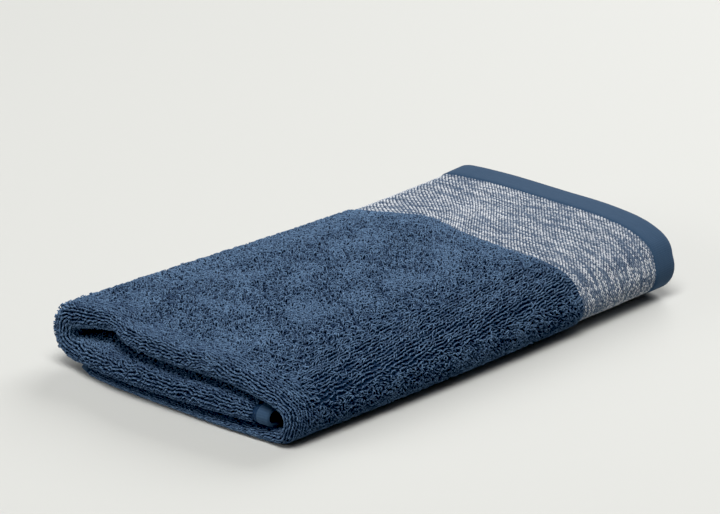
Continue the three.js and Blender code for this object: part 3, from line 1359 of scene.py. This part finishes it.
@dataclass
class BandFloats:
    """The woven band's face: short floats of flecked yarn in steep twill lines.

    Of tone and slubbing, the first value is on the flat and the second is what the right turn
    adds: the drop in tone there is painted shade on the turned side, and the wider slubs there
    are partly painted shading of the twill lines. A spread is of seeded random draws, as play
    is, and tilt is a mean and a spread. Millimetres.
    """

    NAME = "band_floats"

    fold: ClothFold
    seed: int = 31
    first: tuple[str, int] = ("left turn", 0)
    last: tuple[str, int] = ("right turn", 1)
    margins: Span = (0.5, 0.1)
    face: float = 2.9
    fine: float = 0.05
    pick: float = 0.58
    period: float = 1.55
    shift: float = 0.6
    play: Span = (0.09, 0.06)
    tilt: Span = (0.03, 0.05)
    least_stretch: float = 0.5

    # A float by its rings, and its yarn by broad and flat radius
    length: float = 1.02
    out: tuple[float, ...] = (-0.5, 0.0, 0.5)
    lift: tuple[float, ...] = (-0.28, 0.0, -0.28)
    taper: tuple[float, ...] = (0.7, 1.0, 0.7)
    sunk: float = 0.12
    sides: int = 4
    yarn: Span = (0.28, 0.17)
    yarn_tone: float = 0.25
    yarn_spread: float = 0.07

    # Tones, darker on the right turn as painted shade, with flecks that spread wider there, partly real
    # flecks and partly painted shading of the twill lines
    turning: Span = (0.2, 0.9)
    tone: Span = (0.49, -0.13)
    slubbing: Span = (0.28, 0.17)
    clouding: float = 0.06
    streak_spread: float = 0.07
    fleck_spread: float = 0.16
    fleck_turned: float = 0.6
    slub: SoftField = field(default_factory=lambda: SoftField(18.0, 1.9, 32))
    cloud: SoftField = field(default_factory=lambda: SoftField(42.0, 20.0, 33))

    def sites(self) -> tuple[Array, Array, Array]:
        """Places of the floats.

        Returns:
            Shares across, distances from the first fold's tip, and pick numbers.
        """
        fold = self.fold
        steps = fold.columns(fold.share(self.first), fold.share(self.last), self.fine, self.face)
        reach = np.linspace(0.0, self.fine * len(steps), len(steps))
        picks = np.arange(TERRY_END + self.margins[0], HEM_START - self.margins[1], self.pick)
        across, around, numbers = [], [], []
        for number, along in enumerate(picks):
            places = np.arange((-number * self.shift) % self.period, reach[-1], self.period)
            across.append(np.interp(places, reach, steps))
            around.append(np.full(len(places), fold.around_of(along)))
            numbers.append(np.full(len(places), number))
        return np.concatenate(across), np.concatenate(around), np.concatenate(numbers)

    def _tones(self, rng: np.random.Generator, across: Array, around: Array, pick: Array) -> Array:
        """Tones of the floats: slubs along the picks, soft clouds, streaks and single flecks, with painted
        shade on the right turn.

        Args:
            rng: The band's random draws.
            across: Shares across the cloth.
            around: Distances from the first fold's tip.
            pick: Pick numbers.

        Returns:
            A tone for each float, from 0 to 1.
        """
        fold = self.fold
        flat = across * fold.width
        streak = rng.normal(0.0, self.streak_spread, int(pick.max()) + 1)[pick]
        # Painted shade: on the right turn the tone drops, and the wider slubs and flecks there stand partly
        # for the twill's shading
        turned = smooth_step(*self.turning, fold.sample(across, fold.along_of(around))[:, Lie.SIDE_X])
        slub = (self.slubbing[0] + self.slubbing[1] * turned) * self.slub.at(flat, around)
        tone = self.tone[0] + self.tone[1] * turned + slub
        tone = tone + self.clouding * self.cloud.at(flat, around) + streak
        fleck = rng.normal(0.0, self.fleck_spread, len(across)) * (1.0 + self.fleck_turned * turned)
        return smooth_step(0.0, 1.0, tone + fleck)

    def build(self) -> bpy.types.Object:
        """Builds and dresses the floats as one mesh.

        Returns:
            The floats' object.
        """
        fold = self.fold
        rng = np.random.default_rng(self.seed)
        across, around, pick = self.sites()
        count = len(across)
        across = across + rng.normal(0.0, self.play[0], count) / fold.width
        around = around + rng.normal(0.0, self.play[1], count)
        tone = self._tones(rng, across, around, pick)
        thick = 1.0 + self.yarn_tone * (tone - 0.5) + rng.normal(0.0, self.yarn_spread, count)
        face = fold.outer(fold.along_of(around))
        step = np.array(self.out) * self.length
        tilt = rng.normal(*self.tilt, count)
        stretch = np.maximum(fold.stretch(across, around, self.face), self.least_stretch)
        centres = fold.place(
            across[:, None] + step / (fold.width * stretch[:, None]),
            around[:, None] + step * tilt[:, None],
            face[:, None] - self.sunk + np.array(self.lift),
        )
        up = fold.place(across, around, face + 1.0) - fold.place(across, around, face)
        broad = unit(np.cross(unit(centres[:, -1] - centres[:, 0]), unit(up)))
        radii = np.array(self.yarn) * np.array(self.taper)[:, None] * thick[:, None, None]
        mesh = tube_mesh(self.NAME, centres, broad, radii, self.sides)
        add_attribute(mesh, BAND_YARN.attribute, np.repeat(tone, len(self.taper) * self.sides))
        mesh.materials.append(BAND_YARN.material())
        return add_piece(self.NAME, mesh)


@dataclass(frozen=True)
class Softbox:
    """A soft studio light: where it hangs, where it points, its size in metres and its power."""

    name: str
    place: Place
    aim: Place
    size: Span
    power: float
    colour: tuple[float, float, float] = (1.0, 1.0, 1.0)


def aimed(place: Vector, look: Vector, axis: str) -> Matrix:
    """Placing of a light or camera whose own axis points along look."""
    return Matrix.Translation(place) @ look.to_track_quat(axis, "Y").to_matrix().to_4x4()


@dataclass
class Studio:
    """The pale floor, the lights and the camera, in metres."""

    floor_size: float = 8.0
    floor_colour: Colour = (0.576, 0.578, 0.552, 1.0)
    floor_roughness: float = 0.7
    room_colour: Colour = (1.0, 1.0, 1.0, 1.0)
    ambient: float = 0.08
    black_level: float = 0.005
    lens: float = 150.0
    sensor: float = 36.0
    clip_end: float = 50.0
    distance: float = 1.17395
    azimuth: float = 44.25
    elevation: float = 20.68
    target: Place = (-0.05751, 0.04783, 0.0)
    lights: tuple[Softbox, ...] = (
        Softbox("top_softbox", (0.4, -0.5, 1.9), (-1.7, 1.7, 0.0), (1.1, 1.1), 49.0),
        Softbox("back_softbox", (-0.7, 2.0, 1.35), (-0.7, -0.6, 0.0), (2.1, 1.35), 47.0),
        Softbox("low_softbox", (-1.0, -1.5, 0.6), (0.0, -0.1, 0.0), (1.2, 0.7), 11.0),
    )

    def build(self) -> None:
        """Puts up the floor, lights and camera."""
        self._floor()
        for light in self.lights:
            self._light(light)
        self._world()
        self._camera()
        self._develop()

    def _develop(self) -> None:
        """Sets the picture's tones: no filmic curve, and a photograph's deep blacks."""
        tones = bpy.context.scene.view_settings
        tones.view_transform = "Standard"
        tones.use_curve_mapping = True
        tones.curve_mapping.black_level = (self.black_level,) * 3
        tones.curve_mapping.update()

    def _floor(self) -> None:
        """Lays a plain pale floor."""
        bpy.ops.object.select_all(action="DESELECT")
        bpy.ops.mesh.primitive_plane_add(size=self.floor_size, location=(0.0, 0.0, 0.0))
        floor = bpy.context.object
        floor.name = "studio_floor"
        material = bpy.data.materials.new("pale studio floor")
        material.use_nodes = True
        shader = material.node_tree.nodes["Principled BSDF"]
        shader.inputs["Base Color"].default_value = self.floor_colour
        shader.inputs["Roughness"].default_value = self.floor_roughness
        floor.data.materials.append(material)

    @staticmethod
    def _light(light: Softbox) -> None:
        """Hangs one softbox.

        Args:
            light: The softbox.
        """
        lamp = bpy.data.lights.new(light.name, "AREA")
        lamp.shape = "RECTANGLE"
        lamp.size, lamp.size_y = light.size
        lamp.energy = light.power
        lamp.color = light.colour
        holder = bpy.data.objects.new(light.name, lamp)
        bpy.context.scene.collection.objects.link(holder)
        place = Vector(light.place)
        holder.matrix_world = aimed(place, Vector(light.aim) - place, "-Z")

    def _world(self) -> None:
        """Fills the room with a little even light."""
        world = bpy.data.worlds.new("soft room")
        world.use_nodes = True
        back = world.node_tree.nodes["Background"]
        back.inputs["Color"].default_value = self.room_colour
        back.inputs["Strength"].default_value = self.ambient
        bpy.context.scene.world = world

    def _camera(self) -> None:
        """Sets the camera at the photograph's viewing angle."""
        lens = bpy.data.cameras.new("photo_camera")
        lens.lens = self.lens
        lens.sensor_width = self.sensor
        lens.clip_end = self.clip_end
        camera = bpy.data.objects.new("photo_camera", lens)
        bpy.context.scene.collection.objects.link(camera)
        azimuth, elevation = math.radians(self.azimuth), math.radians(self.elevation)
        back = Vector((math.sin(azimuth) * math.cos(elevation),
                       -math.cos(azimuth) * math.cos(elevation),
                       math.sin(elevation)))
        camera.matrix_world = aimed(Vector(self.target) + self.distance * back, back, "Z")
        bpy.context.scene.camera = camera


def main() -> None:
    """Builds the towel and its studio, and reports each piece."""
    logging.basicConfig(level=logging.INFO, format="%(name)s: %(message)s")
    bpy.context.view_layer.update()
    fold = ClothFold()
    log.info("cloth %.0f mm wide, %.0f mm long", fold.width, 2.0 * fold.length)
    sheet = ClothSheet(fold, PILE_PATCHES).build()
    lie = PileLie(fold)
    pieces = [PileLoops(fold, lie, patch, PILE_SEED + number).build()
              for number, patch in enumerate(PILE_PATCHES)]
    pieces.append(BandFloats(fold).build())
    for piece in (sheet, *pieces):
        triangles = sum(len(face.vertices) - 2 for face in piece.data.polygons)
        log.info("%s: %d triangles", piece.name, triangles)
    Studio().build()


if __name__ == "__main__":
    main()
